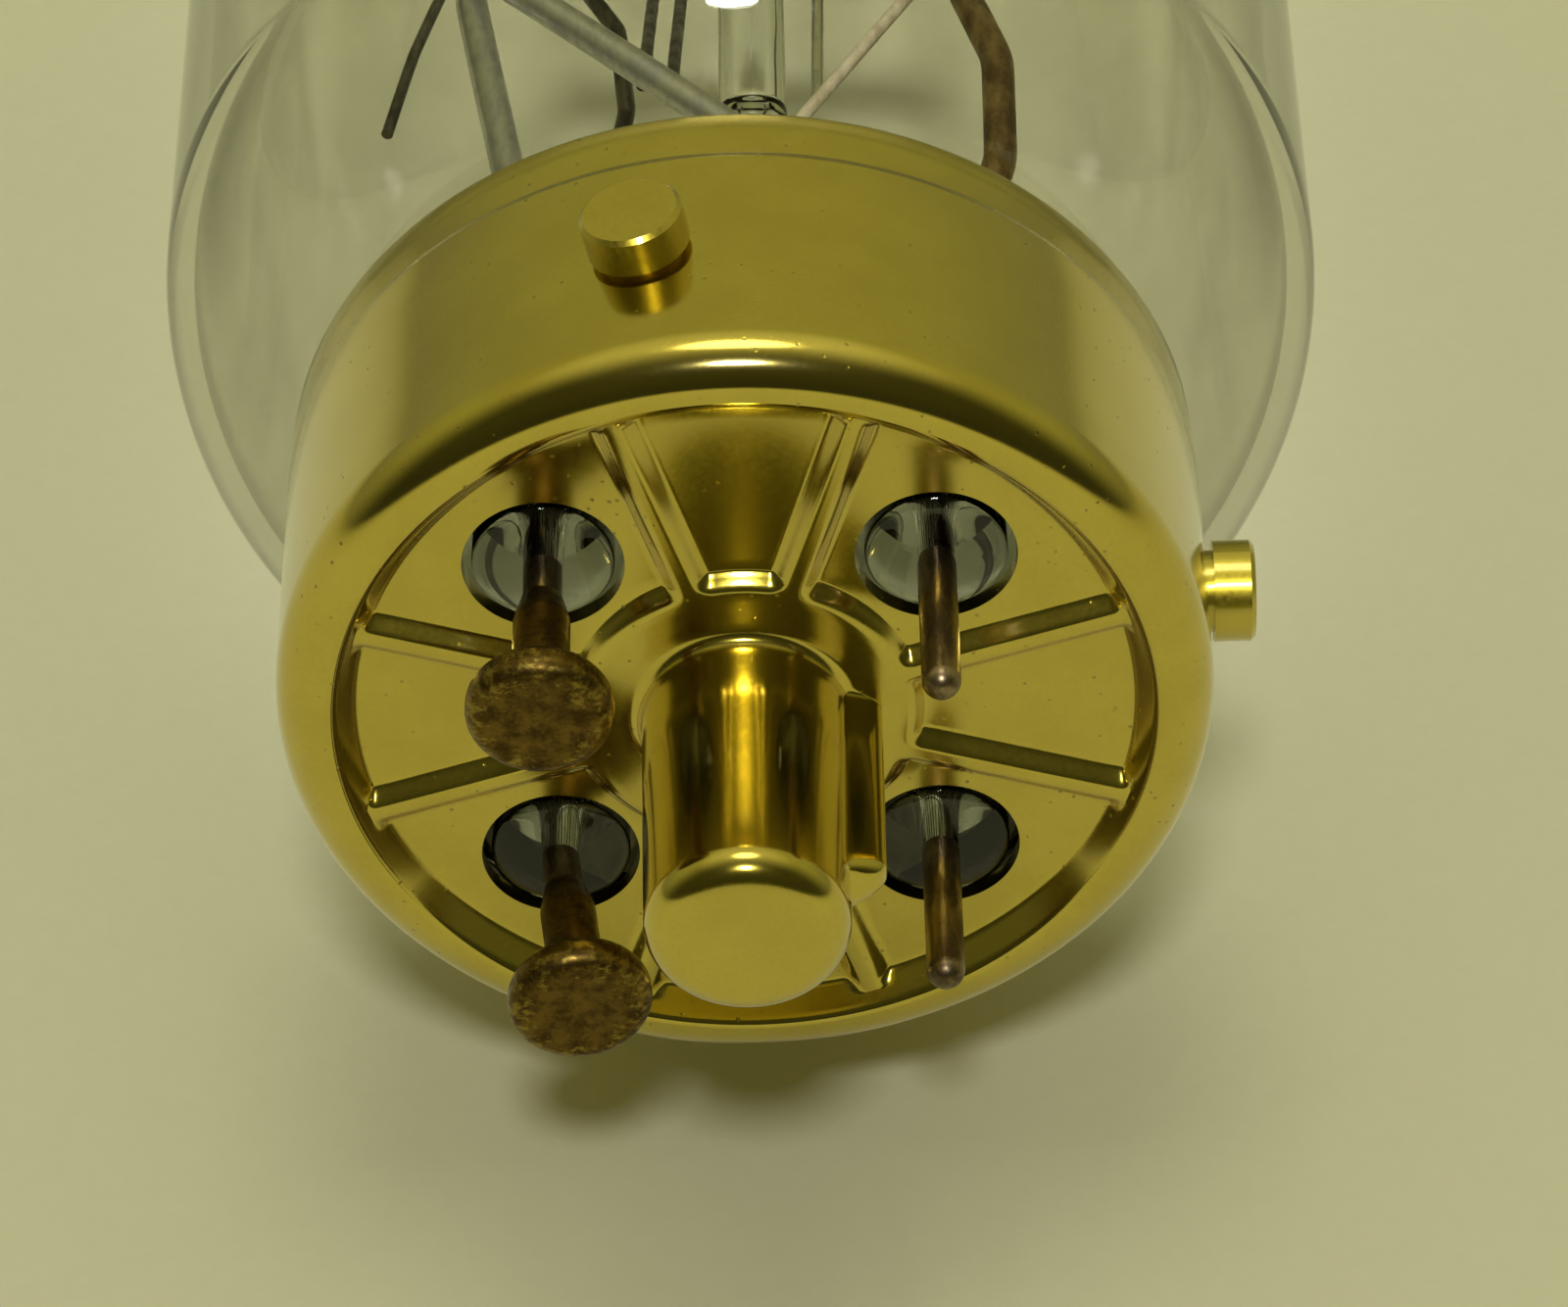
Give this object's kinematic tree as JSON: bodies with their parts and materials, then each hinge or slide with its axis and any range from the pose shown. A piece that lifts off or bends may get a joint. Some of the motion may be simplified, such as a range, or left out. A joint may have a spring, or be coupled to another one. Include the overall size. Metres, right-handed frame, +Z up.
{
  "type": "projector lamp",
  "caption": "Tubular clear glass projector lamp with a gold anodised pressed base, contact pins, support pins and a keyed centre post.",
  "frame": {"origin": "on the lamp's axis, in the plane of the three locating studs on the skirt", "axes": "+Y along the lamp's axis from the base towards the bulb's top, +Z up as the lamp lies on its side, +X to the right seen from the base"},
  "size_m": [0.0382, 0.0889, 0.038],
  "materials": {
    "anodised_shell": "satin gold anodised aluminium",
    "anodised_stud": "turned, satin gold anodised aluminium",
    "cement": "matt tan basing cement",
    "bulb_glass": "clear thin glass",
    "stem_glass": "thick clear pressed glass",
    "arbor_glass": "clear glass cane",
    "dark_pin": "oxidised dark grey-brown metal",
    "aged_brass": "tarnished scuffed brass",
    "silver_rod": "satin silver nickel wire",
    "brown_rod": "oxidised brown wire",
    "coated_wire": "matt cream ceramic coating",
    "dark_wire": "dark drawn wire",
    "tungsten": "grey drawn tungsten wire",
    "bright_wire": "bright drawn nickel wire"
  },
  "bodies": {
    "root": {"base_shell": "anodised_shell", "locating_stud_top": "anodised_stud", "locating_stud_side": "anodised_stud", "locating_stud_lower": "anodised_stud", "basing_cement": "cement", "bulb_envelope": "bulb_glass", "stem_button": "stem_glass", "exhaust_tube": "stem_glass", "contact_lead_upper": "dark_pin", "contact_lead_lower": "dark_pin", "contact_cap_upper": "aged_brass", "contact_cap_lower": "aged_brass", "support_pin_upper": "dark_pin", "support_pin_lower": "dark_pin", "lead_rod_upper": "silver_rod", "lead_rod_lower": "dark_wire", "support_rod_upper": "brown_rod", "support_rod_lower": "dark_wire", "cross_brace": "silver_rod", "getter_wire": "coated_wire", "getter_strip": "dark_wire", "glass_arbor": "arbor_glass", "glass_bridge": "arbor_glass", "filament_coils": "tungsten", "filament_links": "tungsten", "filament_tails": "tungsten", "filament_hooks_lower": "dark_wire", "filament_hook_upper": "dark_wire", "steady_wire_left": "dark_wire", "steady_wire_middle": "dark_wire", "steady_wire_right": "bright_wire", "spring_wire": "dark_wire"}
  },
  "joints": []
}
